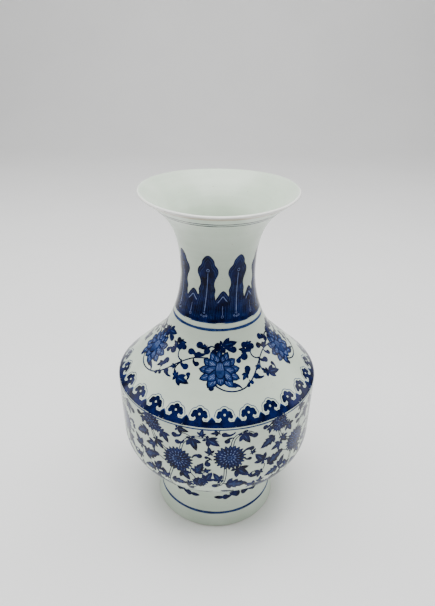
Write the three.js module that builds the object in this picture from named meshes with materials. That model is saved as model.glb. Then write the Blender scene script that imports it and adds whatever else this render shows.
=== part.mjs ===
// A blue-and-white porcelain vase: a flaring mouth on a narrow neck, a conical shoulder,
// a drum-shaped belly and a high hollow foot.
// It is built as a potter builds a tall vase: separately formed sections are stacked on
// one axis, and each pair is luted together with a thin ring of slip.
// Millimetres, +Z up, origin at the centre of the circle that the foot stands on.
import * as THREE from 'three';

// Section heights, from the ground up
const FOOT_HEIGHT = 50;
const BELLY_HEIGHT = 115;
const SHOULDER_HEIGHT = 66;
const NECK_HEIGHT = 119;

// Outside radii
const FOOT_BASE_RADIUS = 65;
const FOOT_WAIST_RADIUS = 58;
const BELLY_RADIUS = 99.5;
const NECK_RADIUS = 35;
const RIM_RADIUS = 71.5;

// Belly: a conical underside that turns through a round corner into a wall that leans out a little
const UNDERSIDE_SLOPE = THREE.MathUtils.degToRad(40);
const BELLY_CORNER_RADIUS = 40;
const BELLY_WALL_LEAN = THREE.MathUtils.degToRad(1.6);

// Shoulder and neck: a straight cone, then one sweep in to the narrowest neck and one out to the rim
const SHOULDER_SLOPE = THREE.MathUtils.degToRad(43.7);
const CONE_TOP_RADIUS = 60;
const NARROWEST_ABOVE_NECK_SEAM = 42;
const RIM_SLOPE = THREE.MathUtils.degToRad(36);
const SWEEP_IN_FULLNESS = [0.26, 0.37];
const SWEEP_OUT_FULLNESS = [0.56, 0.34];

// Walls
const WALL = 4;
const FOOT_WALL = 6;
const FLOOR_THICKNESS = 7;
const LIP_BEAD_RADIUS = 1.4;
const FOOT_RIM_BEVEL = 1;

// Luting: the slip ring's thickness, and the gap it keeps to the section on each side
const SLIP_THICKNESS = 1;
const SLIP_GAP = 0.3;

// Fineness
const TURN_STEPS = 48;
const SWEEP_STEPS = 9;
const CORNER_STEPS = 6;
const FOOT_STEPS = 4;
const BEAD_STEPS = 6;

// Heights of the three seams and the rim
const FOOT_SEAM = FOOT_HEIGHT;
const SHOULDER_SEAM = FOOT_SEAM + BELLY_HEIGHT;
const NECK_SEAM = SHOULDER_SEAM + SHOULDER_HEIGHT;
const RIM_HEIGHT = NECK_SEAM + NECK_HEIGHT;
const HALF_SLIP = SLIP_THICKNESS / 2;
const HALF_JOINT = HALF_SLIP + SLIP_GAP;

const point = (radius, height) => new THREE.Vector2(radius, height);
const heading = (angle) => new THREE.Vector2(Math.cos(angle), Math.sin(angle));

// A sweep between two points that leaves and arrives along the given headings
function sweep(from, fromHeading, to, toHeading, [leave, arrive]) {
  const span = from.distanceTo(to);
  const first = from.clone().addScaledVector(fromHeading, leave * span);
  const second = to.clone().addScaledVector(toHeading, -arrive * span);
  return new THREE.CubicBezierCurve(from, first, second, to).getPoints(SWEEP_STEPS);
}

// An arc about a centre, between two angles measured from the outward radius
function arc(centre, radius, fromAngle, toAngle, steps) {
  return Array.from({ length: steps + 1 }, (_, i) => {
    const angle = THREE.MathUtils.lerp(fromAngle, toAngle, i / steps);
    return centre.clone().addScaledVector(heading(angle), radius);
  });
}

// The foot's outside, from the ground up: one hollow arc that stands upright at the waist
function footOutline() {
  const flare = FOOT_BASE_RADIUS - FOOT_WAIST_RADIUS;
  const radius = (FOOT_HEIGHT ** 2 + flare ** 2) / (2 * flare);
  const centre = point(FOOT_WAIST_RADIUS + radius, FOOT_HEIGHT);
  const spread = Math.asin(FOOT_HEIGHT / radius);
  return arc(centre, radius, Math.PI + spread, Math.PI, FOOT_STEPS);
}

// The belly's outside, from the waist to the shoulder edge
function bellyOutline() {
  const edge = point(BELLY_RADIUS, SHOULDER_SEAM);
  const wallAngle = Math.PI / 2 - BELLY_WALL_LEAN;
  const wall = heading(wallAngle);
  const underside = heading(UNDERSIDE_SLOPE);
  const waist = point(FOOT_WAIST_RADIUS, FOOT_SEAM);
  // Where the straight underside and the straight wall would meet
  const across = edge.clone().sub(waist);
  const along = across.cross(wall) / underside.cross(wall);
  const meeting = waist.clone().addScaledVector(underside, along);
  // The round corner touches both lines
  const halfTurn = (wallAngle - UNDERSIDE_SLOPE) / 2;
  const setback = BELLY_CORNER_RADIUS * Math.tan(halfTurn);
  const cornerStart = meeting.clone().addScaledVector(underside, -setback);
  const inward = heading(UNDERSIDE_SLOPE + Math.PI / 2);
  const centre = cornerStart.clone().addScaledVector(inward, BELLY_CORNER_RADIUS);
  const startAngle = UNDERSIDE_SLOPE - Math.PI / 2;
  const corner = arc(centre, BELLY_CORNER_RADIUS, startAngle, startAngle + 2 * halfTurn, CORNER_STEPS);
  return [waist, ...corner, edge];
}

// The outside of shoulder and neck, from the shoulder edge to where the lip bead begins
function upperOutline() {
  const coneHeading = heading(Math.PI - SHOULDER_SLOPE);
  const coneRise = (BELLY_RADIUS - CONE_TOP_RADIUS) * Math.tan(SHOULDER_SLOPE);
  const coneTop = point(CONE_TOP_RADIUS, SHOULDER_SEAM + coneRise);
  const narrowest = point(NECK_RADIUS, NECK_SEAM + NARROWEST_ABOVE_NECK_SEAM);
  const beadUnderside = beadCentre().addScaledVector(heading(RIM_SLOPE - Math.PI / 2), LIP_BEAD_RADIUS);
  const upright = heading(Math.PI / 2);
  return [
    ...sweep(coneTop, coneHeading, narrowest, upright, SWEEP_IN_FULLNESS),
    ...sweep(narrowest, upright, beadUnderside, heading(RIM_SLOPE), SWEEP_OUT_FULLNESS).slice(1),
  ];
}

function beadCentre() {
  return point(RIM_RADIUS - LIP_BEAD_RADIUS, RIM_HEIGHT - LIP_BEAD_RADIUS);
}

// The same outline moved in by a wall's thickness, square to its own slope
function inset(outline, thickness) {
  return outline.map((here, i) => {
    const before = outline[Math.max(i - 1, 0)];
    const after = outline[Math.min(i + 1, outline.length - 1)];
    const arriving = here.clone().sub(before);
    const leaving = after.clone().sub(here);
    if (i === 0) arriving.copy(leaving);
    if (i === outline.length - 1) leaving.copy(arriving);
    const arrivingNormal = point(-arriving.y, arriving.x).normalize();
    const leavingNormal = point(-leaving.y, leaving.x).normalize();
    const mitre = arrivingNormal.clone().add(leavingNormal).normalize();
    return here.clone().addScaledVector(mitre, thickness / mitre.dot(leavingNormal));
  });
}

// The stretch of a rising outline between two heights, with its ends exactly at them
function stretch(outline, low, high) {
  const between = outline.filter((p) => p.y > low && p.y < high);
  return [at(outline, low), ...between, at(outline, high)];
}

function at(outline, height) {
  const above = Math.max(1, outline.findIndex((p) => p.y >= height));
  const [lower, upper] = [outline[above - 1], outline[above]];
  const share = (height - lower.y) / (upper.y - lower.y);
  return point(THREE.MathUtils.lerp(lower.x, upper.x, share), height);
}

const outside = [...bellyOutline(), ...upperOutline()];
const inside = inset(outside, WALL);
const footOutside = footOutline();
const footInside = inset(footOutside, FOOT_WALL);

// A ring or a bowl: the outside from the bottom up, then the inside from the top down
function turned(name, profile, colour, roughness) {
  const geometry = new THREE.LatheGeometry(profile, TURN_STEPS);
  geometry.rotateX(Math.PI / 2);
  const material = new THREE.MeshStandardMaterial({ color: colour, roughness, metalness: 0 });
  const mesh = new THREE.Mesh(geometry, material);
  mesh.name = name;
  return mesh;
}

const closed = (points) => [...points, points[0].clone()];
const GLAZE = 0xc8cfc6;
const GLAZE_ROUGHNESS = 0.15;
const BARE_CLAY = 0xe2dccf;
const BARE_CLAY_ROUGHNESS = 0.8;

function neckSection() {
  const low = NECK_SEAM + HALF_JOINT;
  const outer = outside.filter((p) => p.y > low);
  const inner = inside.filter((p) => p.y > low);
  // The wall thins to a small round lip, which rolls from the outside over the top to the inside
  const bead = arc(beadCentre(), LIP_BEAD_RADIUS, RIM_SLOPE - Math.PI / 2, RIM_SLOPE + Math.PI / 2, BEAD_STEPS);
  const profile = [at(outside, low), ...outer, ...bead.slice(1), ...inner.slice(0, -1).reverse(), at(inside, low)];
  return turned('neck_section', closed(profile), GLAZE, GLAZE_ROUGHNESS);
}

function shoulderSection() {
  const low = SHOULDER_SEAM + HALF_JOINT;
  const high = NECK_SEAM - HALF_JOINT;
  const profile = [...stretch(outside, low, high), ...stretch(inside, low, high).reverse()];
  return turned('shoulder_section', closed(profile), GLAZE, GLAZE_ROUGHNESS);
}

function bellySection() {
  const low = FOOT_SEAM + HALF_JOINT;
  const high = SHOULDER_SEAM - HALF_JOINT;
  const floor = low + FLOOR_THICKNESS;
  const profile = [
    point(0, low),
    ...stretch(outside, low, high),
    ...stretch(inside, floor, high).reverse(),
    point(0, floor),
  ];
  return turned('belly_section', profile, GLAZE, GLAZE_ROUGHNESS);
}

function footRing() {
  const high = FOOT_SEAM - HALF_JOINT;
  const profile = [
    point(FOOT_BASE_RADIUS - FOOT_RIM_BEVEL, 0),
    ...stretch(footOutside, FOOT_RIM_BEVEL, high),
    ...stretch(footInside, FOOT_RIM_BEVEL, high).reverse(),
    point(at(footInside, FOOT_RIM_BEVEL).x + FOOT_RIM_BEVEL, 0),
  ];
  return turned('foot_ring', closed(profile), GLAZE, GLAZE_ROUGHNESS);
}

// A slip ring fills its joint between the outside and inside of the walls that it bonds
function slipRing(name, seam, outer, inner) {
  const low = seam - HALF_SLIP;
  const high = seam + HALF_SLIP;
  const profile = [...stretch(outer, low, high), ...stretch(inner, low, high).reverse()];
  return turned(name, closed(profile), BARE_CLAY, BARE_CLAY_ROUGHNESS);
}

// The foot's slip ring is a plain band as wide as the top of the foot
function footSlipRing() {
  const outerRadius = FOOT_WAIST_RADIUS;
  const innerRadius = FOOT_WAIST_RADIUS - FOOT_WALL;
  const low = FOOT_SEAM - HALF_SLIP;
  const high = FOOT_SEAM + HALF_SLIP;
  const profile = [
    point(outerRadius, low),
    point(outerRadius, high),
    point(innerRadius, high),
    point(innerRadius, low),
  ];
  return turned('foot_slip_ring', closed(profile), BARE_CLAY, BARE_CLAY_ROUGHNESS);
}

const group = new THREE.Group();
group.add(
  neckSection(),
  slipRing('neck_slip_ring', NECK_SEAM, outside, inside),
  shoulderSection(),
  slipRing('shoulder_slip_ring', SHOULDER_SEAM, outside, inside),
  bellySection(),
  footSlipRing(),
  footRing(),
);

export default group;
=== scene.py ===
import cmath
import math

import bpy
import numpy as np
from mathutils import Matrix, Vector
from mathutils.geometry import delaunay_2d_cdt


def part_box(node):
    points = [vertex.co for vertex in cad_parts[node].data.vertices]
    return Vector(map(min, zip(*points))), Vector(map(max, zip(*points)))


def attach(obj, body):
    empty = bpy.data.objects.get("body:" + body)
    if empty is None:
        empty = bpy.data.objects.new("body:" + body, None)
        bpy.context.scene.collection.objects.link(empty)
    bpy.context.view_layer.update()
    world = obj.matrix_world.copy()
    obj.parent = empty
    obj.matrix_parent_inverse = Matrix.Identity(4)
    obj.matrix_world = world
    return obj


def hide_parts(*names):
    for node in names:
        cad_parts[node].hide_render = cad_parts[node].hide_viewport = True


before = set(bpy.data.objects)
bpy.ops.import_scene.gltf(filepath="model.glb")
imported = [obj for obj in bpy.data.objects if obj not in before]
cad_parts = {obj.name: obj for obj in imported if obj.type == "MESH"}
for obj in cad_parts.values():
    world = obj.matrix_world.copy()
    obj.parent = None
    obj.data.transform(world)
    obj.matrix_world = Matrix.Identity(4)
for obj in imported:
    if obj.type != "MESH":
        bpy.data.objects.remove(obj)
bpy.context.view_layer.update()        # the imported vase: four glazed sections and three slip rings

MM = 0.001
UP = math.pi / 2


def span(node):
    """A node's lowest and highest corner, in millimetres."""
    return [np.array(corner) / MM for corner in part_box(node)]


def ring_of(node):
    """A slip ring's outer radius and its middle height."""
    low, high = span(node)
    return high[0], (low[2] + high[2]) / 2


# ------------------------------------------------------------------ the vase's outline
NECK_HIGH = span("neck_section")[1]
RIM_RADIUS, RIM_HEIGHT = NECK_HIGH[0], NECK_HIGH[2]
BELLY_RADIUS, SHOULDER_SEAM = ring_of("shoulder_slip_ring")
NECK_SEAM = ring_of("neck_slip_ring")[1]
WAIST_RADIUS, FOOT_SEAM = ring_of("foot_slip_ring")
FOOT_BASE_RADIUS = 65
NECK_RADIUS = 35
NARROWEST_ABOVE_SEAM = 42
UNDERSIDE_SLOPE = math.radians(40)
WALL_HEADING = math.radians(88.4)
SHOULDER_SLOPE = math.radians(43.7)
CONE_TOP_RADIUS = 60
RIM_SLOPE = math.radians(36)
SWEEP_IN_FULLNESS = (0.26, 0.37)
SWEEP_OUT_FULLNESS = (0.56, 0.34)
LIP_RADIUS = 1.4
LIP_TAPER = 30
WHITE_BELOW_RIM = 5.0
RIM_WARP = 1.0
WARP_HEIGHT = 50
BELLY_CORNER_RADIUS = 40
WAIST_FILLET = 4
EDGE_RADIUS = 2.2
WALL = 4
FOOT_WALL = 6
FLOOR_THICKNESS = 7
FOOT_BEVEL = 1
SLIP_HALF = 0.5
GLAZE_SKIN = 0.3
STEP = 0.5


def heading(angle):
    """A unit step along an angle."""
    return cmath.exp(1j * angle)


def line(start, end, step=STEP):
    """Evenly spaced points along a straight line."""
    return np.linspace(start, end, max(2, round(abs(end - start) / step) + 1))


def fillet(corner, before, after, radius):
    """The arc that rounds a corner between two headings."""
    turn = after - before
    start = corner - heading(before) * radius * math.tan(abs(turn) / 2)
    centre = start + 1j * math.copysign(radius, turn) * heading(before)
    steps = max(6, round(radius * abs(turn) / STEP))
    return centre + (start - centre) * np.exp(1j * turn * np.linspace(0, 1, steps + 1))


def sweep(start, leaving, end, arriving, fullness):
    """A curve between two points that leaves and arrives along the given headings."""
    reach = abs(end - start)
    first = start + heading(leaving) * reach * fullness[0]
    second = end - heading(arriving) * reach * fullness[1]
    t = np.linspace(0, 1, round(reach / STEP))
    return start * (1 - t)**3 + 3 * first * t * (1 - t)**2 + 3 * second * t**2 * (1 - t) + end * t**3


def cross(a, b):
    """How far b turns left from a."""
    return (a.conjugate() * b).imag


LIP_CENTRE = complex(RIM_RADIUS - LIP_RADIUS, RIM_HEIGHT - LIP_RADIUS)


def foot_outline():
    """The foot's hollow flare, one arc from the ground to the waist."""
    flare = FOOT_BASE_RADIUS - WAIST_RADIUS
    radius = (FOOT_SEAM**2 + flare**2) / (2 * flare)
    centre = complex(WAIST_RADIUS + radius, FOOT_SEAM)
    spread = math.asin(FOOT_SEAM / radius)
    return centre - radius * np.exp(1j * np.linspace(spread, 0, round(FOOT_SEAM / STEP)))


def vase_outline(edge_radius):
    """The outside from the ground to the underside of the rounded lip."""
    waist = complex(WAIST_RADIUS, FOOT_SEAM)
    edge = complex(BELLY_RADIUS, SHOULDER_SEAM)
    underside, wall = heading(UNDERSIDE_SLOPE), heading(WALL_HEADING)
    meeting = waist + underside * cross(edge - waist, wall) / cross(underside, wall)
    cone_heading = math.pi - SHOULDER_SLOPE
    cone_rise = (BELLY_RADIUS - CONE_TOP_RADIUS) * math.tan(SHOULDER_SLOPE)
    cone_top = complex(CONE_TOP_RADIUS, SHOULDER_SEAM + cone_rise)
    narrowest = complex(NECK_RADIUS, NECK_SEAM + NARROWEST_ABOVE_SEAM)
    lip_underside = LIP_CENTRE + LIP_RADIUS * heading(RIM_SLOPE - UP)
    hollow = fillet(waist, UP, UNDERSIDE_SLOPE, WAIST_FILLET)
    corner = fillet(meeting, UNDERSIDE_SLOPE, WALL_HEADING, BELLY_CORNER_RADIUS)
    shoulder_edge = fillet(edge, WALL_HEADING, cone_heading, edge_radius)
    foot = foot_outline()
    return np.concatenate([
        foot[foot.imag < hollow[0].imag - STEP / 2],
        hollow,
        line(hollow[-1], corner[0])[1:-1],
        corner,
        line(corner[-1], shoulder_edge[0])[1:-1],
        shoulder_edge,
        line(shoulder_edge[-1], cone_top)[1:-1],
        sweep(cone_top, cone_heading, narrowest, UP, SWEEP_IN_FULLNESS),
        sweep(narrowest, UP, lip_underside, RIM_SLOPE, SWEEP_OUT_FULLNESS)[1:],
    ])


def outward(points):
    """The outward direction at each point of a rising outline."""
    tangent = np.gradient(points)
    return -1j * tangent / abs(tangent)


OUTLINE = vase_outline(EDGE_RADIUS)
NORMALS = outward(OUTLINE)
RUN = np.concatenate([[0], np.cumsum(abs(np.diff(OUTLINE)))])
ROUNDER = vase_outline(EDGE_RADIUS + WALL)
NEAR_LIP = np.clip((ROUNDER.imag - RIM_HEIGHT + LIP_TAPER) / LIP_TAPER, 0, 1)
INNER = ROUNDER - outward(ROUNDER) * (WALL + (2 * LIP_RADIUS - WALL) * NEAR_LIP)


def settled(spots):
    """The rim as fired: a little high at its left and right, and low at its front and back."""
    x, y, z = spots[..., 0], spots[..., 1], spots[..., 2]
    near_rim = np.clip((z - RIM_HEIGHT + WARP_HEIGHT) / WARP_HEIGHT, 0, 1)**2
    saddle = (x**2 - y**2) / np.maximum(x**2 + y**2, 1)
    return np.stack([x, y, z + RIM_WARP * near_rim * saddle], -1)


def run_at(height):
    """How far along the outline a height lies."""
    return float(np.interp(height, OUTLINE.imag, RUN))


EDGE_RUN = run_at(SHOULDER_SEAM)


# ------------------------------------------------------------------ turned pieces
TURN_STEPS = 256
GLAZED_RUN, BARE_RUN, LIP_RUN = range(3)


def between(points, low, high):
    """The stretch of a rising outline between two heights, with its ends exactly there."""
    inner = points[(points.imag > low + 1e-6) & (points.imag < high - 1e-6)]
    ends = [complex(np.interp(z, points.imag, points.real), z) for z in (low, high)]
    return np.concatenate([ends[:1], inner, ends[1:]])


def thinned(points, keep=3):
    """One point in every few of a curve, with both ends kept."""
    picked = list(range(0, len(points) - 1, keep)) + [len(points) - 1]
    return points[picked]


def straight(*points, kind=GLAZED_RUN):
    """Straight faces through the given corners."""
    return [(np.array([a, b]), kind) for a, b in zip(points, points[1:])]


def joint(outer, inner, inwards, into):
    """The end of a wall at a seam: a recess for the slip ring between two skins of glaze.
    inwards says whether it runs from the outside to the inside. into is +1 or -1, up or down."""
    deep = 1j * into * SLIP_HALF
    path = [outer, outer - GLAZE_SKIN, outer - GLAZE_SKIN + deep,
            inner + GLAZE_SKIN + deep, inner + GLAZE_SKIN, inner]
    return straight(*(path if inwards else path[::-1]))


def turned(name, runs, materials, replaced):
    """A closed body of revolution. Each run is a smooth stretch of its outline; runs meet at corners."""
    rows, quads = [], []
    angles = np.arange(TURN_STEPS) * 2 * math.pi / TURN_STEPS
    lengths = [abs(np.diff(points)).sum() for points, _ in runs]
    total, done = sum(lengths), 0.0
    first_row = 0
    closed = abs(runs[0][0][0] - runs[-1][0][-1]) < 1e-9
    for number, (points, kind) in enumerate(runs):
        facing = outward(points)
        places = done + np.concatenate([[0], np.cumsum(abs(np.diff(points)))])
        done += lengths[number]
        indices = [first_row + i for i in range(len(points))]
        first_row += len(points) - 1
        if closed and number == len(runs) - 1:
            indices[-1] = 0
        for i, p in zip(indices, points):
            if i == len(rows):
                rows.append(p)
        quads += [(indices[i], indices[i + 1], facing[i], facing[i + 1],
                   places[i] / total, places[i + 1] / total, kind)
                  for i in range(len(points) - 1)]
    rows = np.array(rows)
    on_axis = rows.real < 1e-6
    start = np.concatenate([[0], np.cumsum(np.where(on_axis, 1, TURN_STEPS))])
    vertices = []
    for p, pole in zip(rows, on_axis):
        turned_row = [(p.real * math.sin(a), -p.real * math.cos(a), p.imag) for a in angles]
        vertices += turned_row[:1] if pole else turned_row
    faces, kinds, normals, maps = [], [], [], []
    sines, cosines = np.sin(angles), np.cos(angles)
    for low, high, low_n, high_n, low_v, high_v, kind in quads:
        for j in range(TURN_STEPS):
            k = (j + 1) % TURN_STEPS
            u0, u1 = j / TURN_STEPS, (j + 1) / TURN_STEPS
            corners = [(low, j, low_n, u0, low_v), (low, k, low_n, u1, low_v),
                       (high, k, high_n, u1, high_v), (high, j, high_n, u0, high_v)]
            if on_axis[low]:
                del corners[1]
            if on_axis[high]:
                del corners[3]
            faces.append([start[row] + (0 if on_axis[row] else column) for row, column, *_ in corners])
            normals += [(n.real * sines[c], -n.real * cosines[c], n.imag) for _, c, n, _, _ in corners]
            maps += [(u, v) for *_, u, v in corners]
            kinds.append(kind)
    piece = new_piece(name, settled(np.array(vertices)) * MM, faces, normals, maps, materials, kinds)
    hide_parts(replaced)


def new_piece(name, vertices, faces, normals, maps, materials, kinds):
    """A smooth mesh with its own normals and a flat map of its surface, riding on the vase."""
    mesh = bpy.data.meshes.new(name)
    mesh.from_pydata(vertices.tolist(), [], faces)
    mesh.polygons.foreach_set("use_smooth", np.ones(len(faces), bool))
    mesh.polygons.foreach_set("material_index", np.array(kinds, np.int32))
    layer = mesh.uv_layers.new(name="OFBake")
    layer.uv.foreach_set("vector", np.array(maps, np.float32).ravel())
    for material in materials[:max(kinds) + 1]:
        mesh.materials.append(material)
    mesh.normals_split_custom_set(normals)
    piece = bpy.data.objects.new(name, mesh)
    bpy.context.scene.collection.objects.link(piece)
    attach(piece, "root")
    return piece


# ------------------------------------------------------------------ brush marks
BARE, PALE, MID, DEEP = range(4)
TONE_NAMES = {PALE: "pale", MID: "mid", DEEP: "deep"}


def flow(points, step=1.6):
    """A smooth line through a few given points."""
    points = np.array(points, complex)
    padded = np.concatenate([[2 * points[0] - points[1]], points, [2 * points[-1] - points[-2]]])
    pieces = []
    for a, b, c, d in zip(padded, padded[1:], padded[2:], padded[3:]):
        t = np.arange(0, 1, 1 / max(2, math.ceil(abs(c - b) / step)))
        pieces.append(0.5 * (2 * b + (c - a) * t + (2 * a - 5 * b + 4 * c - d) * t**2
                             + (3 * b - a - 3 * c + d) * t**3))
    return np.concatenate(pieces + [points[-1:]])


def disc(centre, radius, sides=12):
    """A circle's outline."""
    return centre + radius * np.exp(2j * math.pi * np.arange(sides) / sides)


def brush(path, half_widths):
    """The outline of a stroke along a path, with round ends."""
    tangent = np.gradient(path)
    side = 1j * tangent / abs(tangent) * half_widths
    cap = np.exp(-1j * np.array([0.25, 0.5, 0.75]) * math.pi)
    return np.concatenate([path + side, path[-1] + side[-1] * cap,
                           (path - side)[::-1], path[0] - side[0] * cap])


def stem(points, width, tone=DEEP, step=1.6):
    """A stroke of even width through a few points."""
    path = flow([complex(*p) for p in points], step)
    return [(tone, brush(path, np.full(len(path), width / 2)))]


def double_stem(points, width):
    """A stem drawn as two lines with the white body between them."""
    return stem(points, width) + stem(points, width * 0.44, BARE)


def blade(length, width, root=0.7, tip=0.8, sides=7):
    """A pointed petal or leaf lobe along +x. root and tip say how fast each end narrows."""
    t = np.linspace(0, 1, sides + 2)[1:-1]
    widest = root / (root + tip)
    half = width / 2 * (t / widest)**root * ((1 - t) / (1 - widest))**tip
    upper = t * length + 1j * half
    return np.concatenate([[0], upper.conjugate(), [length], upper[::-1]])


def moved(motif, at=0, turn=0.0):
    """A motif turned, in degrees, and then shifted."""
    spin = heading(math.radians(turn))
    return [(tone, at + spin * shape) for tone, shape in motif]


def comma(tail, bow, size):
    """A round ball at the origin with a tapering tail. bow says how far the tail bulges sideways."""
    middle = tail * (0.5 + 1j * bow)
    t = np.linspace(0, 1, 8)
    path = tail * (1 - t)**2 + 2 * middle * t * (1 - t)
    return [(DEEP, brush(path, size * (0.12 + 0.28 * t**1.2))), (DEEP, disc(0, size / 2, 11))]


def sprig(length, fork=52):
    """A three-lobed leaf with a lighter vein and two barbs at its root."""
    motif = [(DEEP, blade(length, length * 0.44, 0.5, 0.8, 5))]
    lobe = [(DEEP, blade(length * 0.6, length * 0.3, 0.5, 0.7, 4))]
    barb = [(DEEP, blade(length * 0.32, length * 0.2, sides=3))]
    for side in (-1, 1):
        motif += moved(lobe, length * 0.12, side * fork)
        motif += moved(barb, length * 0.04, side * (fork + 62))
    motif += moved([(MID, blade(length * 0.5, length * 0.07, sides=3))], length * 0.2)
    return moved(motif, -0.45 * length)


def toothed_leaf(length):
    """A broad leaf with toothed sides, a wash inside and a central vein."""
    motif = [(DEEP, blade(length, length * 0.46, 0.5, 0.8, 6))]
    for place, reach, fork in ((0.1, 0.42, 62), (0.28, 0.4, 50), (0.48, 0.32, 40)):
        for side in (-1, 1):
            tooth = blade(length * reach, length * 0.2, sides=3)
            motif += moved([(DEEP, tooth)], length * place, side * fork)
    motif += moved([(MID, blade(length * 0.66, length * 0.15))], length * 0.14)
    side_vein = [(MID, blade(length * 0.24, length * 0.05, sides=3))]
    for side in (-1, 1):
        motif += moved(side_vein, length * 0.3, side * 48)
    vein = brush(line(length * 0.05, length * 0.85, 1.2), 0.16)
    return moved(motif + [(DEEP, vein)], -0.45 * length)


def blossom(radius, teeth=22):
    """A many-petalled round flower: rings of narrow petals, dark at their edges."""
    motif = [(DEEP, disc(0, radius * 0.84, 18))]
    # inner end, outer end, count, width, tone; a ring with no count is a plain disc
    rings = ((0.62, 1.0, teeth, 0.19, DEEP), (0.66, 0.90, teeth, 0.05, MID), (0.0, 0.64, 0, 0, DEEP),
             (0.44, 0.68, teeth - 5, 0.07, MID), (0.48, 0.62, teeth - 5, 0.03, PALE),
             (0.20, 0.44, teeth - 10, 0.10, MID), (0.26, 0.40, teeth - 10, 0.04, PALE),
             (0.0, 0.16, 0, 0, MID), (0.0, 0.09, 0, 0, DEEP))
    for number, (inner, outer, count, width, tone) in enumerate(rings):
        if not count:
            motif.append((tone, disc(0, radius * outer, 24)))
            continue
        sides = 4 if tone == DEEP else 2
        petal = blade(radius * (outer - inner), radius * width, 0.4, 0.6, sides)
        half_step = 0.5 * (number > 2)
        for i in range(count):
            motif += moved([(tone, radius * inner + petal)], 0, 360 * (i + half_step) / count)
    return motif


def lotus_petal(length, width):
    """A washed petal: a dark outline, a blue wash and three pale streaks."""
    inner = blade(length * 0.86, width * 0.74, 0.5, 0.6) + length * 0.06
    streaks = [(PALE, brush(line(length * 0.45, length * reach, 1.8) * heading(angle), 0.28))
               for angle, reach in ((0.0, 0.80), (0.14, 0.68), (-0.14, 0.68))]
    return [(DEEP, blade(length, width, 0.5, 0.6)), (MID, inner), *streaks]


def lotus(size):
    """A lotus seen from the side: two rings of broad petals round a tall veined heart."""
    # petal length and width, and the petals' headings
    rings = (
        (1.04, 0.50, (90, 60, 120, 31, 149, 2, 178, -28, 208, -59, 239)),
        (0.80, 0.50, (73, 107, 36, 144, -2, 182, -44, 224, -90)),
    )
    motif = [(DEEP, disc(0, size * 0.7, 30))]
    for length, width, turns in rings:
        for turn in turns:
            motif += moved(lotus_petal(size * length, size * width), 0, turn)
    heart = disc(0, 1, 22)
    egg = heart.real * size * 0.25 + 1j * heart.imag * size * 0.46
    motif += [(DEEP, egg), (MID, egg * 0.86)]
    for lean in (-0.6, -0.2, 0.2, 0.6):
        top = complex(lean * 0.2 * size, 0.32 * size)
        motif.append((PALE, brush(line(complex(lean * 0.26 * size, 0), top, 1.4), 0.2)))
    return motif


# ------------------------------------------------------------------ painted bands
# The spacing of the points that let a flat cell bend round the vase.
GRID = 3.0
BELLY_GRID = 4.0
LINE_GRID = 2.5
LAPPET_GRID = 2.0
EDGE_GRID = 0.5
# How far a skin stands above the glaze and sinks into it.
LIFT = 0.06
SINK = 0.04
# Points nearer than this are made one.
WELD = 0.02
SMALLEST_TRIANGLE = 1e-5


def inside(points, outline):
    """Which points an outline winds round."""
    a, b = outline[None, :], np.roll(outline, -1)[None, :]
    p = points[:, None]
    rising = (a.imag <= p.imag) & (b.imag > p.imag)
    falling = (a.imag > p.imag) & (b.imag <= p.imag)
    left = ((b - a).conjugate() * (p - a)).imag
    return (rising & (left > 0)).sum(1) - (falling & (left < 0)).sum(1) != 0


def cut_cell(shapes, width, low, high, grid):
    """Cuts a cell into triangles, each with the tone of the last mark drawn over it."""
    reach = [(tone, shape + shift) for tone, shape in shapes for shift in (-width, 0, width)]
    reach = [(tone, s) for tone, s in reach if s.real.max() > 0 and s.real.min() < width]
    points, edges = [], []

    def add(loop, closed=True):
        """Adds the points of a loop, or of an open line, and the edges between them."""
        first, count = len(points), len(loop)
        points.extend((p.real, p.imag) for p in loop)
        edges.extend((first + i, first + (i + 1) % count) for i in range(count if closed else count - 1))

    for _, shape in reach:
        add(shape)
    levels = np.linspace(low, high, round((high - low) / grid) + 1)
    for side in (0, width):
        add([complex(side, y) for y in levels], closed=False)
    for row, y in enumerate(levels):
        columns = np.linspace(0, width, round(width / grid) + 1)[1:-1]
        points.extend((x, y + 1e-3 * (row % 2)) for x in columns)
    flat, _, triangles, *_ = delaunay_2d_cdt([Vector(p) for p in points], edges, [], 0, 1e-3, False)
    flat = np.array([complex(*p) for p in flat])
    triangles = np.array(triangles)
    middles = flat[triangles].mean(1)
    tones = np.zeros(len(triangles), int)
    for tone, shape in reach:
        near = ((middles.real > shape.real.min()) & (middles.real < shape.real.max())
                & (middles.imag > shape.imag.min()) & (middles.imag < shape.imag.max()))
        hit = np.flatnonzero(near)
        tones[hit[inside(middles[hit], shape)]] = tone
    corners = flat[triangles]
    area = cross(corners[:, 1] - corners[:, 0], corners[:, 2] - corners[:, 0]) / 2
    keep = ((middles.real > 0) & (middles.real < width)
            & (abs(area) > SMALLEST_TRIANGLE) & (tones != BARE))
    triangles, tones, area = triangles[keep], tones[keep], area[keep]
    triangles[area < 0] = triangles[area < 0][:, ::-1]
    return flat, triangles, tones


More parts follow.
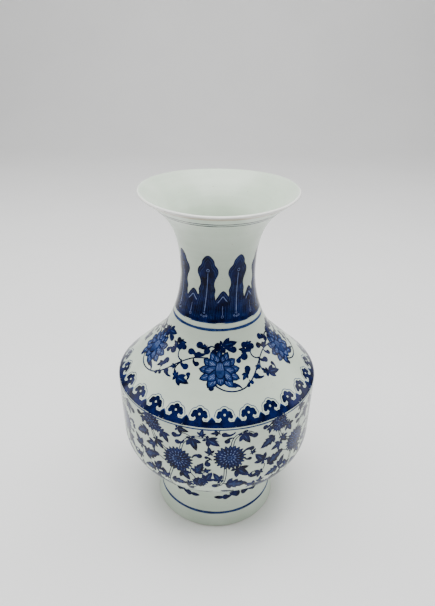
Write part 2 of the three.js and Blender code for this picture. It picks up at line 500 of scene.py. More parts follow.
class Band:
    """A painted band: one cell, in millimetres, repeated round the vase.
    A run of zero is the level base, and x is measured at the radius true_at above it."""

    def __init__(self, name, base, repeats, true_at, start=0.0, hand=0.0):
        self.name, self.base, self.repeats, self.hand = name, base, repeats, hand
        self.radius = float(np.interp(base + true_at, RUN, OUTLINE.real))
        self.width = 2 * math.pi * self.radius / repeats
        self.start = math.radians(start)
        self.shapes = []

    def put(self, motif, x=0.0, y=0.0, turn=0.0):
        """Adds a motif, widened so that it keeps its shape at its own height on the vase."""
        widen = self.radius / np.interp(self.base + y, RUN, OUTLINE.real)
        for tone, shape in moved(motif, 0, turn):
            self.shapes.append((tone, x + shape.real * widen + 1j * (y + shape.imag)))

    def strip(self, low, high, tone, waver=0.12):
        """A line or solid band all the way round, with a slightly uneven edge."""
        t = np.linspace(-0.1, 1.1, max(8, round(self.width * 1.2 / 3)))
        uneven = waver * np.sin(2 * math.pi * t) + 0.5 * waver * np.sin(6 * math.pi * t + 1)
        below = t * self.width + 1j * (low + uneven)
        above = t * self.width + 1j * (high - 0.7 * uneven)
        self.shapes.append((tone, np.concatenate([below, above[::-1]])))

    def place(self, flat, lift):
        """Lays flat points on the vase, with the small drift of a painter's hand."""
        angle = flat.real / self.radius
        drift_x = self.hand * (np.sin(2 * angle + 0.7) + 0.6 * np.sin(7 * angle + 0.05 * flat.imag))
        drift_y = 0.6 * self.hand * (np.sin(3 * angle + 1.1) + 0.5 * np.sin(8 * angle + 2.3))
        angle = angle + drift_x / self.radius + self.start
        run = self.base + flat.imag + drift_y
        radius, height = np.interp(run, RUN, OUTLINE.real), np.interp(run, RUN, OUTLINE.imag)
        out, rise = np.interp(run, RUN, NORMALS.real), np.interp(run, RUN, NORMALS.imag)
        normal = np.stack([out * np.sin(angle), -out * np.cos(angle), rise], 1)
        spot = np.stack([radius * np.sin(angle), -radius * np.cos(angle), height], 1)
        return settled(spot + normal * lift), normal

    def build(self, grid=GRID):
        """Cuts the cell and lays each of its tones on the vase."""
        low = min(shape.imag.min() for _, shape in self.shapes) - 1
        high = max(shape.imag.max() for _, shape in self.shapes) + 1
        flat, triangles, tones = cut_cell(self.shapes, self.width, low, high, grid)
        flat = np.where(abs(flat.real) < 1e-4, 1j * flat.imag, flat)
        flat = np.where(abs(flat.real - self.width) < 1e-4, self.width + 1j * flat.imag, flat)
        for tone, tone_name in TONE_NAMES.items():
            cell = triangles[tones == tone]
            if len(cell):
                self.skin(f"{self.name}_{tone_name}", flat, cell, low, high, COBALTS[tone])

    def skin(self, name, flat, cell, low, high, material):
        """One tone of the band, as thin closed skins that lie on the vase."""
        used, cell = np.unique(cell, return_inverse=True)
        cell, flat = cell.reshape(-1, 3), flat[used]
        around = self.width * self.repeats
        copies = np.concatenate([flat + k * self.width for k in range(self.repeats)])
        triangles = np.concatenate([cell + k * len(flat) for k in range(self.repeats)])
        rows = np.repeat(np.arange(self.repeats), len(cell))
        key = np.stack([np.round((copies.real % around) / WELD) % round(around / WELD),
                        np.round(copies.imag / WELD)], 1)
        _, first, same = np.unique(key, axis=0, return_index=True, return_inverse=True)
        same = same.ravel()
        triangles_welded = same[triangles]
        real = ((triangles_welded[:, 0] != triangles_welded[:, 1])
                & (triangles_welded[:, 1] != triangles_welded[:, 2])
                & (triangles_welded[:, 2] != triangles_welded[:, 0]))
        triangles, welded, rows = triangles[real], triangles_welded[real], rows[real]
        spots = copies[first]
        top, normal = self.place(spots, LIFT)
        bottom, _ = self.place(spots, -SINK)
        count = len(spots)
        directed = {(a, b) for a, b, c in welded.tolist() for a, b in ((a, b), (b, c), (c, a))}
        local = np.stack([(copies.real[triangles] - rows[:, None] * self.width) / self.width,
                          (rows[:, None] + (copies.imag[triangles] - low) / (high - low)) / self.repeats], 2)
        faces = (welded[:, ::-1] + count).tolist()
        normals = (-normal[welded[:, ::-1]]).reshape(-1, 3).tolist()
        maps = local[:, ::-1].reshape(-1, 2).tolist()
        for number, (a, b, c) in enumerate(welded.tolist()):
            for (p, q), (i, j) in zip(((a, b), (b, c), (c, a)), ((0, 1), (1, 2), (2, 0))):
                if (q, p) not in directed:
                    faces.append([p, p + count, q + count, q])
                    side = np.cross(top[q] - top[p], normal[p])
                    side = side / (np.linalg.norm(side) or 1)
                    normals += [side.tolist()] * 4
                    maps += [local[number][i].tolist()] * 2 + [local[number][j].tolist()] * 2
        faces += welded.tolist()
        normals += normal[welded].reshape(-1, 3).tolist()
        maps += local.reshape(-1, 2).tolist()
        vertices = np.concatenate([top, bottom]) * MM
        piece = new_piece(name, vertices, faces, normals, maps, [material], [0] * len(faces))


# ------------------------------------------------------------------ the painting
# Heights of the lines and bands above the ground, or distances along the wall from the edge.
LIP_LINES_HEIGHT = 335.5
LAPPETS_HEIGHT = 238
NECK_RING_HEIGHT = 230.2
FOOT_SCROLL_HEIGHT = 33.4
FOOT_LINE_HEIGHT = 15.4
EDGE_LINE_DROP = 1.6
UNDERSIDE_SHADE_DROP = 89.5
COLLAR_RISE = 2.2
LAPPETS = 8
SCROLL_REPEATS = 5
CLOUD_HEADS = 26
COLLAR_START = -2.4


def lip_lines():
    """Two thin lines under the lip."""
    band = Band("lip_lines", run_at(LIP_LINES_HEIGHT), 8, 2)
    band.strip(0, 1.4, DEEP)
    band.strip(3.9, 5.5, DEEP)
    return band


TALL_LAPPET = ((10.5, -1), (10.2, 12), (9.6, 20), (8.4, 26), (9.0, 30), (7.4, 35), (8.2, 40), (11.0, 46),
               (10.4, 51), (7.2, 55), (6.2, 59), (2.8, 63.2), (0, 64.4))
SHORT_LAPPET = ((8.5, -1), (8.5, 14), (8.1, 20), (5.4, 24.5), (2.2, 28.5), (0, 29.6))
LAPPET_LEAN = 0.06


def lappet(sides, shrink=0.0, tone=DEEP):
    """A lappet's outline from its half widths, drawn in by an even margin."""
    edge = flow([complex(max(x - shrink, 0), y - shrink * (y > 0)) for x, y in sides], 1.6)
    return [(tone, np.concatenate([edge, -edge.conjugate()[::-1]]))]


def leaning(motif, lean):
    """A motif slanted sideways, as the brush drew it."""
    return [(tone, shape + lean * shape.imag) for tone, shape in motif]


def loop(x, y, radius, line_width=0.35, tone=PALE):
    """A small ring drawn in a lighter line."""
    return [(tone, disc(complex(x, y), radius)), (DEEP, disc(complex(x, y), radius - line_width))]


def neck_lappets():
    """Tall lobed lappets with short pointed ones between them, on a solid band."""
    band = Band("neck_lappets", run_at(LAPPETS_HEIGHT), LAPPETS, 30, start=-17, hand=0.45)
    tall = lappet(TALL_LAPPET) + lappet(TALL_LAPPET, 1.3, MID) + lappet(TALL_LAPPET, 1.65)
    tall += lappet(TALL_LAPPET, 3.0, MID) + lappet(TALL_LAPPET, 3.3)
    for x in (-6.4, -4.9, -2.2, 2.6, 4.6, 6.2):
        tall += stem([(x, 2), (x * 0.9, 16), (x * 0.8, 34)], 0.3, MID, 3)
    tall += loop(0, 49, 1.6, 0.45) + stem([(0, 46), (-0.2, 28), (-0.4, 9.5)], 0.75, PALE, 3)
    for x, y in ((-0.4, 7.6), (-2.6, 5.2), (-0.2, 4.4), (2.0, 5.2)):
        tall += loop(x, y, 0.9)
    short = lappet(SHORT_LAPPET) + lappet(SHORT_LAPPET, 1.2, MID) + lappet(SHORT_LAPPET, 1.5)
    short += stem([(-5.2, 18.5), (-2.4, 21.4), (0, 24), (2.4, 21.4), (5.2, 18.5)], 0.7, PALE)
    for x in (-5.4, -3.4, 3.0, 5.0):
        short += stem([(x, 2), (x, 9), (x * 0.9, 15)], 0.3, MID, 3)
    short += stem([(0, 15), (0, 7)], 0.5, PALE, 3) + loop(0, 5, 1.3)
    for side in (-1, 1):
        band.put(leaning(short, LAPPET_LEAN), side * band.width / 2, 0)
    band.put(leaning(tall, LAPPET_LEAN), -1.2, 0)
    band.strip(-0.6, 13, DEEP, 0.5)
    band.shapes.insert(0, band.shapes.pop())     # the solid band lies under the lappets' lines
    band.strip(-0.6, 2.6, DEEP)
    band.strip(-1.6, -0.6, MID)
    return band


def neck_ring():
    """The ring line at the foot of the neck."""
    band = Band("neck_ring", run_at(NECK_RING_HEIGHT), 8, 1)
    band.strip(-0.1, 2.5, MID)
    return band


LOTUS_HEIGHT = 51
LOTUS_SIZE = 18.6
SHOULDER_STEM = 1.35
SHOULDER_CURL_SIZE = 1.15
SHOULDER_FORK = 40


def shoulder_scroll():
    """Lotus flowers on a winding stem, with commas, buds and small leaves."""
    band = Band("shoulder_scroll", EDGE_RUN, SCROLL_REPEATS, LOTUS_HEIGHT, start=2, hand=0.9)
    stems = (
        ((-3, 36), (3, 32.4), (11, 31.2), (20, 33.5), (28, 40),
         (37, 50), (45, 57), (54, 61.3), (66, 62)),
        ((41, 55), (36, 58), (34.4, 63), (37, 67.5), (41, 68.5)),
        ((41, 53.6), (38.6, 47.5), (40.5, 41.5), (46, 38.5)),
        ((-2, 70), (-9, 72.5), (-16, 70.2), (-21, 70.4)),
        ((0, 69), (5, 74), (11, 75.3)),
    )
    for points in stems:
        band.shapes += stem(points, SHOULDER_STEM)
    # ball's place, where the tail starts from it, bow, size
    commas = (
        (11.4, 36.7, 6, -3.4, 0.3, 4.4), (22.6, 34.6, 3, 3, 0.3, 3.2), (26.2, 36.4, -2, 3, 0.3, 3.2),
        (26, 49.4, -6, -8, 0.25, 5.4), (26.4, 61, -2, 6.5, -0.5, 6.2), (29, 71.5, 5.5, -3, 0.5, 5.0),
        (33.6, 66, -6, 2, 0.4, 4.8), (38.4, 67.8, -6, 2.4, 0.4, 5.0), (47.9, 66, 5, -4.2, 0.4, 5.4),
        (47.4, 51.2, -6.5, 4.8, 0.4, 5.2), (31.4, 40.7, 7, -2.6, -0.3, 5.0), (-23, 73.2, 9, -2, -0.3, 5.6),
        (-13.9, 68.0, 3, 4, 0.4, 5.4), (-22.4, 64.4, 8, 3.4, -0.3, 4.8), (-1.5, 72.4, -5, -4, 0.3, 6.4),
        (16.2, 69, -7, 4.6, 0.4, 5.4), (-7, 34.4, 5, 2.4, 0.4, 4.4), (56.5, 55.6, -4, 5, 0.4, 4.2),
        (19.6, 58.4, 6, 3, 0.4, 4.2), (-26.4, 45, 0, -6, 0.3, 3.6),
    )
    for x, y, tail_x, tail_y, bow, size in commas:
        band.put(comma(complex(tail_x, tail_y), bow, SHOULDER_CURL_SIZE * size), x, y)
    # middle, heading, length
    leaves = ((48, 38.6, -14, 15), (11.5, 74.4, 8, 15), (22, 43.6, 228, 9), (35.6, 47.6, 215, 7),
              (41, 42, 110, 7), (26.4, 67.4, 160, 8), (35, 71.2, 15, 8), (-18, 72.4, 165, 6))
    for x, y, turn, length in leaves:
        band.put(sprig(length, SHOULDER_FORK), x, y, turn)
    for x, y, radius in ((-6, 67, 2.6), (4.5, 69, 2.6)):
        band.put([(DEEP, disc(0, radius))], x, y)
    band.put(lotus(LOTUS_SIZE), 0, LOTUS_HEIGHT)
    return band


# each lobe's centre and radius
CLOUD_LOBES = ((0, 12.0, 3.3), (-4.3, 9.9, 3.1), (4.3, 9.9, 3.1), (-6.0, 7.9, 2.1), (6.0, 7.9, 2.1),
               (0, 8.4, 4.2))
COLLAR_BASE = 3.4


def cloud_collar():
    """Cloud heads with a double outline, standing on a solid band at the shoulder's edge."""
    band = Band("cloud_collar", EDGE_RUN + COLLAR_RISE, CLOUD_HEADS, 4, start=COLLAR_START, hand=0.25)
    head = []
    for grow, tone in ((2.0, MID), (1.3, BARE), (0, DEEP)):
        head += [(tone, disc(complex(x, y), r + grow, 18)) for x, y, r in CLOUD_LOBES]
    pillar_side = ((3.4, 9), (2.9, 6), (3.6, 4), (6.6, 2.4), (6.6, 0))
    pillar = np.array([complex(x, y) for x, y in pillar_side])
    head.append((DEEP, np.concatenate([pillar, -np.conj(pillar[::-1])])))
    hook = ((9.0, 7.4), (8.7, 5.2), (6.9, 3.5), (4.7, 3.9), (4.4, 5.6))
    for side in (-1, 1):
        path = flow([side * x + 1j * y for x, y in hook])
        head += [(BARE, brush(path, np.full(len(path), 0.6)))]
    head.append((BARE, disc(9.4j, 1.05)))
    for x in (0, band.width):
        band.put([(BARE, blade(8.0, 8.4, 0.2, 1.0))], x, COLLAR_BASE - 1.4, 90)
        band.put([(MID, blade(5.4, 7.0, 0.2, 1.0))], x, COLLAR_BASE - 1.2, 90)
        band.put([(DEEP, blade(4.0, 5.6, 0.2, 1.0))], x, COLLAR_BASE - 1.2, 90)
    band.put(head, band.width / 2, 0)
    band.strip(-0.2, 3.2, DEEP)
    return band


def collar_base():
    """The foot of the collar's solid band, cut finely enough to follow the rounded edge."""
    band = Band("collar_base", EDGE_RUN, CLOUD_HEADS, 0, start=COLLAR_START, hand=0.25)
    band.strip(0.1, 3.2, DEEP, waver=0.05)
    return band


def edge_line():
    """The thin line under the white ridge of the shoulder's edge."""
    band = Band("edge_line", EDGE_RUN - EDGE_LINE_DROP, 12, 0)
    band.strip(-0.75, 0.75, MID)
    return band


BELLY_DOUBLE_STEM = 3.0
BELLY_STEM = 0.9
BELLY_CURL_SIZE = 1.12


def belly_scroll():
    """Round flowers on double stems, thick with leaves, filling the belly's wall."""
    band = Band("belly_scroll", EDGE_RUN, SCROLL_REPEATS, -40, hand=0.9)
    double = (
        ((14, -22), (15, -15), (18, -10), (26, -5.5)),
        ((-33, -29), (-29.5, -19.5), (-21, -12.5), (-8, -11)),
        ((9, -49), (8.6, -58), (6.5, -67), (1, -72.5)),
        ((-42, -56), (-44, -64), (-46, -74), (-43, -85)),
        ((61, -17), (64, -25), (70, -31), (79, -37)),
    )
    for points in double:
        band.shapes += double_stem(points, BELLY_DOUBLE_STEM)
    single = (
        ((26, -5.5), (30, -7), (33, -9)),
        ((-21, -12.5), (-27, -9.5), (-33, -9)),
        ((-8, -11), (-3, -13), (2, -16)),
        ((47, -55), (45, -60), (42, -64)),
        ((47, -54), (44, -48), (40, -44)),
        ((24, -45), (22, -50), (25, -56)),
        ((-23, -50), (-24, -56), (-20, -62)),
        ((66, -45), (72, -48), (78, -52)),
        ((6, -68), (12, -70), (19, -71)),
        ((-43, -85), (-30, -90), (-18, -88), (-4, -84)),
        ((19, -88), (32, -93), (46, -90), (60, -84)),
    )
    for points in single:
        band.shapes += stem(points, BELLY_STEM)
    # ball's place, where the tail starts from it, bow, size
    commas = (
        (32, -27.6, -8, -4, -0.45, 4.8), (9.6, -15.8, 5, 4, 0.4, 4.8), (7, -7.8, 9, 2, -0.4, 5.0),
        (34.4, -12.6, -6, 4.6, 0.4, 5.6), (-38, -13.4, 7, 3, -0.4, 5.6), (-35.4, -21, 6.5, 3, -0.4, 5.0),
        (-15, -34.4, -7, -3, -0.45, 5.0), (-7.6, -44, 2, 6, 0.5, 5.6), (-1.4, -72.2, 6, 1, 0.4, 5.4),
        (-58, -46, -3, 6, 0.5, 5.0), (44.6, -6.8, 6, 2, -0.4, 5.0), (-8.6, -35.6, 5, -3, 0.3, 3.4),
        (31, -40, -5, 2, 0.4, 3.6), (33, -62, 3, 4, 0.4, 4.0), (-57, -58, 4, 4, 0.4, 4.4),
        (-24, -80, 4, 4, 0.4, 5.0), (20, -90, -6, 3, 0.4, 5.0), (-40, -94, 6, 3, 0.4, 5.0),
        (58, -93, -5, 4, 0.4, 5.0), (3, -93, 5, 4, 0.4, 5.0), (70, -70, -5, 3, 0.4, 4.6),
    )
    for x, y, tail_x, tail_y, bow, size in commas:
        band.put(comma(complex(tail_x, tail_y), bow, BELLY_CURL_SIZE * size), x, y)
    # middle, heading, length
    sprigs = (
        (41.5, -43, 130, 16), (38.8, -62.6, 200, 12), (67, -60.6, 60, 13), (25.9, -13.4, -60, 15),
        (-3, -16.8, -35, 15), (-20, -20, -72, 16), (-30, -5.6, -10, 12), (-12.4, -6.6, 80, 9),
        (-5.6, -27.4, 100, 10), (-7.4, -60.4, 60, 14), (-29, -60.4, -55, 14), (-50, -66.4, 110, 13),
        (24.6, -55, -42, 18), (1, -60.6, 120, 13), (-48.6, -19.4, -60, 14), (-55, -31, -50, 13),
        (59, -36, 200, 13), (-1, -6, 190, 8), (50, -12, -100, 9), (-70, -4, 200, 9), (34, -32, 60, 7),
        (70, -14, -30, 11), (-8, -52, 20, 8), (-26, -73, -100, 10), (34, -76, 150, 13), (60, -80, 10, 14),
        (-58, -76, 80, 12), (-12, -92, 160, 13), (34, -98, 10, 12), (-60, -96, 200, 13), (44, -72, 90, 9),
    )
    for x, y, turn, length in sprigs:
        band.put(sprig(length), x, y, turn)
    leaves = ((49.4, -26, 212, 19), (57.5, -50.4, 28, 21), (-16, -50.6, 62, 17), (18.6, -70.4, -6, 23),
              (-36, -71.6, -5, 16), (56.6, -67.4, 195, 16), (12, -86, 150, 15), (-26, -98, 20, 16))
    for x, y, turn, length in leaves:
        band.put(toothed_leaf(length), x, y, turn)
    # middle, radius, teeth
    blossoms = ((12.5, -35.8, 15.3, 22), (-36.2, -42.6, 15.3, 22), (61, -8.6, 10.5, 15), (-16, -68, 7.5, 12),
                (-52, -86, 8, 12), (46, -84, 8.5, 12))
    for x, y, radius, teeth in blossoms:
        band.put(blossom(radius, teeth), x, y, 8)
    return band


def underside_painted_shade():
    """A painted dark ring low on the belly's underside, where the belly's scroll ends: painted shade for the
    dark line along the belly's lower contour.
    """
    band = Band("underside_painted_shade", EDGE_RUN - UNDERSIDE_SHADE_DROP, 12, 0)
    # painted shade: a thin cobalt ring standing in for the shaded line at the belly's lower contour
    band.strip(-0.6, 0.6, MID)
    return band


def foot_scroll():
    """Commas and leaf tips that hang in pairs from the waist."""
    band = Band("foot_scroll", run_at(FOOT_SCROLL_HEIGHT), SCROLL_REPEATS, 5, start=-9, hand=0.4)
    # ball's place, where the tail starts from it, bow, size
    commas = ((19.5, 3.0, 9, 4.4, -0.3, 7), (32.5, 4.0, -8, 3.4, 0.3, 7.2))
    for side in (-1, 1):
        for x, y, tail_x, tail_y, bow, size in commas:
            band.put(comma(complex(side * tail_x, tail_y), bow * side, size), side * x, y)
        band.put([(DEEP, blade(11, 4.6))], side * 18, 2.6, 176 if side > 0 else 4)
        band.put([(DEEP, blade(13, 6))], side * 37, 4.8, 24 if side > 0 else 156)
    return band


def foot_line():
    """The ring line low on the foot."""
    band = Band("foot_line", run_at(FOOT_LINE_HEIGHT), 8, 0)
    band.strip(-0.4, 2.6, MID)
    return band


# ------------------------------------------------------------------ materials
def noise(tree, scale, detail=3.0, stretch=(1, 1, 1)):
    """Seeded noise on the object's own coordinates, in features per metre."""
    place = tree.nodes.new("ShaderNodeTexCoord")
    mapping = tree.nodes.new("ShaderNodeMapping")
    mapping.inputs["Scale"].default_value = stretch
    texture = tree.nodes.new("ShaderNodeTexNoise")
    texture.inputs["Scale"].default_value = scale
    texture.inputs["Detail"].default_value = detail
    tree.links.new(place.outputs["Object"], mapping.inputs["Vector"])
    tree.links.new(mapping.outputs["Vector"], texture.inputs["Vector"])
    return texture.outputs["Fac"]


def ramp(tree, value, stops):
    """A value turned into colours, from (place, colour) stops."""
    node = tree.nodes.new("ShaderNodeValToRGB")
    elements = node.color_ramp.elements
    while len(elements) < len(stops):
        elements.new(0.5)
    for element, (place, colour) in zip(elements, stops):
        element.position = place
        element.color = (*colour, 1)
    tree.links.new(value, node.inputs["Fac"])
    return node.outputs["Color"]


def blended(tree, first, second):
    """Two colours multiplied."""
    node = tree.nodes.new("ShaderNodeMix")
    node.data_type = "RGBA"
    node.blend_type = "MULTIPLY"
    node.inputs["Factor"].default_value = 1.0
    colours = [s for s in node.inputs if s.type == "RGBA"]
    tree.links.new(first, colours[0])
    tree.links.new(second, colours[1])
    return next(s for s in node.outputs if s.type == "RGBA")


def ceramic(name, roughness, gloss, bump, bump_scale):
    """A ceramic shader with gentle unevenness; its colour is added by the caller."""
    material = bpy.data.materials.new(name)
    material.use_nodes = True
    tree = material.node_tree
    shader = tree.nodes["Principled BSDF"]
    shader.inputs["Roughness"].default_value = roughness
    shader.inputs["IOR"].default_value = 1.45
    shader.inputs["Specular IOR Level"].default_value = gloss
    node = tree.nodes.new("ShaderNodeBump")
    node.inputs["Strength"].default_value = bump
    node.inputs["Distance"].default_value = 0.0002
    tree.links.new(noise(tree, bump_scale, 2), node.inputs["Height"])
    tree.links.new(node.outputs["Normal"], shader.inputs["Normal"])
    return material, tree, shader


def glaze():
    """White porcelain under a clear, faintly green glaze: clouding, throwing marks, rare specks."""
    material, tree, shader = ceramic("porcelain_glaze", 0.27, 0.34, 0.10, 90)
    clouds = ramp(tree, noise(tree, 28, 4), [(0.3, (0.58, 0.675, 0.56)), (0.7, (0.65, 0.735, 0.63))])
    turning = noise(tree, 60, 2, (0.15, 0.15, 6))
    marks = ramp(tree, turning, [(0.35, (0.955, 0.965, 0.955)), (0.65, (1, 1, 1))])
    specks = ramp(tree, noise(tree, 700, 1), [(0.2, (0.55, 0.45, 0.36)), (0.235, (1, 1, 1))])
    colour = blended(tree, blended(tree, clouds, marks), specks)
    tree.links.new(colour, shader.inputs["Base Color"])
    return material


def white_lip():
    """The lip and the first few millimetres below it: whiter where the glaze runs thin and as a painted
    highlight, with a painted tan shade lower down.
    """
    material, tree, shader = ceramic("lip_glaze_painted_highlight_and_shade", 0.2, 0.36, 0.10, 90)
    place = tree.nodes.new("ShaderNodeTexCoord")
    height = tree.nodes.new("ShaderNodeSeparateXYZ")
    tree.links.new(place.outputs["Object"], height.inputs["Vector"])
    below = tree.nodes.new("ShaderNodeMapRange")
    below.inputs["From Min"].default_value = (RIM_HEIGHT - WHITE_BELOW_RIM - RIM_WARP) * MM
    below.inputs["From Max"].default_value = RIM_HEIGHT * MM
    tree.links.new(height.outputs["Z"], below.inputs["Value"])
    # painted shade and painted highlight: the tan low on the lip's outside stands in for its shadow, and the
    # white above is partly thinner glaze, partly painted highlight
    painted_shade_to_highlight = ramp(tree, below.outputs["Result"], [(0.45, (0.50, 0.46, 0.36)), (0.62, (0.95, 0.95, 0.91))])
    uneven = ramp(tree, noise(tree, 60, 4), [(0.3, (0.93, 0.93, 0.93)), (0.7, (1, 1, 1))])
    tree.links.new(blended(tree, painted_shade_to_highlight, uneven), shader.inputs["Base Color"])
    return material


def bare_clay():
    """Unglazed porcelain: warm white, matt and finely grained."""
    material, tree, shader = ceramic("bare_porcelain", 0.8, 0.2, 0.5, 900)
    colour = ramp(tree, noise(tree, 300, 5), [(0.3, (0.60, 0.53, 0.43)), (0.7, (0.76, 0.71, 0.62))])
    tree.links.new(colour, shader.inputs["Base Color"])
    return material


def cobalt(name, dark, light, pool):
    """Cobalt under glaze: the wash thickens and thins, and pools into dark flecks."""
    material, tree, shader = ceramic(name, 0.15, 0.12, 0.10, 90)
    wash = ramp(tree, noise(tree, 130, 4), [(0.34, dark), (0.66, light)])
    flecks = ramp(tree, noise(tree, 900, 3), [(0.34, (pool, pool, pool)), (0.5, (1, 1, 1))])
    tree.links.new(blended(tree, wash, flecks), shader.inputs["Base Color"])
    return material


GLAZE = glaze()
BARE_CLAY = bare_clay()
WHITE_LIP = white_lip()
COBALTS = {
    DEEP: cobalt("cobalt_deep", (0.0005, 0.0015, 0.016), (0.0025, 0.010, 0.085), 0.5),
    MID: cobalt("cobalt_mid", (0.006, 0.020, 0.095), (0.028, 0.064, 0.205), 0.6),
    PALE: cobalt("cobalt_pale", (0.09, 0.14, 0.34), (0.22, 0.29, 0.50), 0.8),
}


# ------------------------------------------------------------------ building it
LIP_INSIDE_STEPS = 4


def make_sections():
    """The four glazed sections, each a closed shell."""
    shells = [GLAZE, BARE_CLAY, WHITE_LIP]
    outer_at = {z: between(OUTLINE, z, RIM_HEIGHT)[0] for z in (FOOT_SEAM, SHOULDER_SEAM, NECK_SEAM)}
    inner_at = {z: between(INNER, z, RIM_HEIGHT)[0] for z in (SHOULDER_SEAM, NECK_SEAM)}
    smooth = GLAZED_RUN

    lip_turn = np.linspace(RIM_SLOPE - UP, RIM_SLOPE + UP, 17)
    lip = LIP_CENTRE + LIP_RADIUS * np.exp(1j * lip_turn)
    outer = OUTLINE[OUTLINE.imag > NECK_SEAM + 1e-6]
    lip_starts = RIM_HEIGHT - WHITE_BELOW_RIM
    under_lip = outer[outer.imag > lip_starts]
    below_lip = thinned(outer[outer.imag < lip_starts])
    neck_outer = np.concatenate([[outer_at[NECK_SEAM]], below_lip, under_lip[:1]])
    white = np.concatenate([under_lip, lip[1:-LIP_INSIDE_STEPS]])
    inner = thinned(INNER[INNER.imag > NECK_SEAM + 1e-6])[-2::-1]
    neck_inner = np.concatenate([lip[-LIP_INSIDE_STEPS - 1:], inner, [inner_at[NECK_SEAM]]])
    turned("neck",
           [(neck_outer, smooth), (white, LIP_RUN), (neck_inner, smooth)]
           + joint(outer_at[NECK_SEAM], inner_at[NECK_SEAM], False, 1),
           shells, "neck_section")

    outer = thinned(between(OUTLINE, SHOULDER_SEAM, NECK_SEAM), 2)
    inner = thinned(between(INNER, SHOULDER_SEAM, NECK_SEAM))[::-1]
    turned("shoulder",
           [(outer, smooth)] + joint(outer_at[NECK_SEAM], inner_at[NECK_SEAM], True, -1)
           + [(inner, smooth)] + joint(outer_at[SHOULDER_SEAM], inner_at[SHOULDER_SEAM], False, 1),
           shells, "shoulder_section")

    floor = FOOT_SEAM + SLIP_HALF + FLOOR_THICKNESS
    outer = thinned(between(OUTLINE, FOOT_SEAM, SHOULDER_SEAM), 2)
    inner = thinned(between(INNER, floor, SHOULDER_SEAM))[::-1]
    skin = outer_at[FOOT_SEAM] - GLAZE_SKIN
    turned("belly",
           straight(1j * (FOOT_SEAM + SLIP_HALF), skin + 1j * SLIP_HALF, skin, outer_at[FOOT_SEAM])
           + [(outer, smooth)] + joint(outer_at[SHOULDER_SEAM], inner_at[SHOULDER_SEAM], True, -1)
           + [(inner, smooth)] + straight(inner[-1], 1j * floor),
           shells, "belly_section")

    outer = thinned(between(OUTLINE, FOOT_BEVEL, FOOT_SEAM))
    whole = foot_outline()
    hollow = whole - outward(whole) * FOOT_WALL
    top = FOOT_SEAM - SLIP_HALF
    inner = thinned(between(hollow, FOOT_BEVEL, top))[::-1]
    rim_out = complex(outer[0].real - FOOT_BEVEL, 0)
    rim_in = complex(inner[-1].real + FOOT_BEVEL, 0)
    turned("foot",
           straight(rim_out, outer[0], kind=BARE_RUN) + [(outer, smooth)]
           + straight(outer[-1], skin, skin - 1j * SLIP_HALF, inner[0])
           + [(inner, smooth)] + straight(inner[-1], rim_in, rim_out, kind=BARE_RUN),
           shells, "foot_ring")


def slip_ring(name, outer, inner, height, replaced):
    """Slip inside a joint, between the two skins of glaze."""
    low, high = height - SLIP_HALF, height + SLIP_HALF
    out, into = outer - GLAZE_SKIN, inner + GLAZE_SKIN
    corners = [complex(out, low), complex(out, high), complex(into, high), complex(into, low)]
    turned(name, straight(*corners, corners[0]), [BARE_CLAY], replaced)


def make_slip_rings():
    """The slip inside the three joints."""
    for part, height in (("neck", NECK_SEAM), ("shoulder", SHOULDER_SEAM)):
        outer = between(OUTLINE, height, RIM_HEIGHT)[0].real
        inner = between(INNER, height, RIM_HEIGHT)[0].real
        slip_ring(f"{part}_slip", outer, inner, height, f"{part}_slip_ring")
    slip_ring("foot_slip", WAIST_RADIUS, WAIST_RADIUS - FOOT_WALL, FOOT_SEAM, "foot_slip_ring")


def make_painting():
    """Every painted band, from thin lines to the scrolls."""
    for band in (lip_lines(), neck_ring(), edge_line(), underside_painted_shade(), foot_line()):
        band.build(LINE_GRID)
    neck_lappets().build(LAPPET_GRID)
    collar_base().build(EDGE_GRID)
    belly_scroll().build(BELLY_GRID)
    for band in (shoulder_scroll(), cloud_collar(), foot_scroll()):
        band.build()


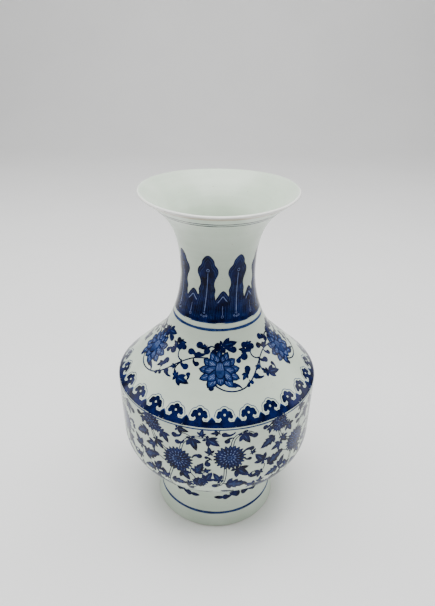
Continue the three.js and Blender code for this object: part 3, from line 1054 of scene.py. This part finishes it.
# ------------------------------------------------------------------ stage, light and camera
def make_stage():
    """A pale floor that curves up into a pale backdrop."""
    depth, rise, half, bend = 1.6, 2.2, 3.0, 0.6
    turn = np.linspace(0, UP, 13)
    path = [(-2.4, 0.0)] + [(depth + bend * math.sin(a), bend * (1 - math.cos(a))) for a in turn]
    path.append((depth + bend, rise))
    vertices = [(x, y, z) for y, z in path for x in (-half, half)]
    faces = [(2 * i, 2 * i + 1, 2 * i + 3, 2 * i + 2) for i in range(len(path) - 1)]
    mesh = bpy.data.meshes.new("studio_floor")
    mesh.from_pydata(vertices, [], faces)
    mesh.polygons.foreach_set("use_smooth", np.ones(len(faces), bool))
    material = bpy.data.materials.new("studio_paper")
    material.use_nodes = True
    tree = material.node_tree
    shader = tree.nodes["Principled BSDF"]
    shader.inputs["Roughness"].default_value = 0.9
    paper = ramp(tree, noise(tree, 4), [(0.3, (0.90, 0.90, 0.895)), (0.7, (0.93, 0.93, 0.925))])
    tree.links.new(paper, shader.inputs["Base Color"])
    mesh.materials.append(material)
    floor = bpy.data.objects.new("studio_floor", mesh)
    bpy.context.scene.collection.objects.link(floor)


def area_light(name, place, target, size, power):
    """A square softbox that faces its target."""
    lamp = bpy.data.lights.new(name, "AREA")
    lamp.size = size
    lamp.energy = power
    holder = bpy.data.objects.new(name, lamp)
    holder.location = place
    holder.rotation_euler = (Vector(target) - Vector(place)).to_track_quat("-Z", "Y").to_euler()
    bpy.context.scene.collection.objects.link(holder)


def make_light():
    """A large softbox overhead, a weak one on each side, and dim air all round."""
    middle = (0, 0, 0.2)
    area_light("overhead_softbox", (0.0, -0.05, 1.8), middle, 1.3, 53)
    area_light("left_softbox", (-1.5, 0.3, 0.9), middle, 0.8, 8)
    area_light("right_softbox", (1.5, 0.4, 0.9), middle, 0.8, 7)
    world = bpy.data.worlds.new("studio_air")
    world.use_nodes = True
    sky = world.node_tree.nodes["Background"]
    sky.inputs["Color"].default_value = (1, 1, 1, 1)
    sky.inputs["Strength"].default_value = 0.27
    bpy.context.scene.world = world


CAMERA_BACK = 473
CAMERA_HEIGHT = 491
CAMERA_PITCH = math.radians(28.3)
CAMERA_ROLL = math.radians(0.7)
CAMERA_LENS = 32.9


def make_camera():
    """The photo's viewpoint, on the front side and above."""
    camera = bpy.data.cameras.new("camera")
    camera.lens = CAMERA_LENS
    camera.sensor_width = 36
    camera.clip_start = 0.01
    holder = bpy.data.objects.new("camera", camera)
    holder.location = (0, -CAMERA_BACK * MM, CAMERA_HEIGHT * MM)
    aim = Matrix.Rotation(UP - CAMERA_PITCH, 3, "X") @ Matrix.Rotation(CAMERA_ROLL, 3, "Z")
    holder.rotation_euler = aim.to_euler()
    bpy.context.scene.collection.objects.link(holder)
    bpy.context.scene.camera = holder


make_camera()
make_stage()
make_light()
make_sections()
make_slip_rings()
make_painting()
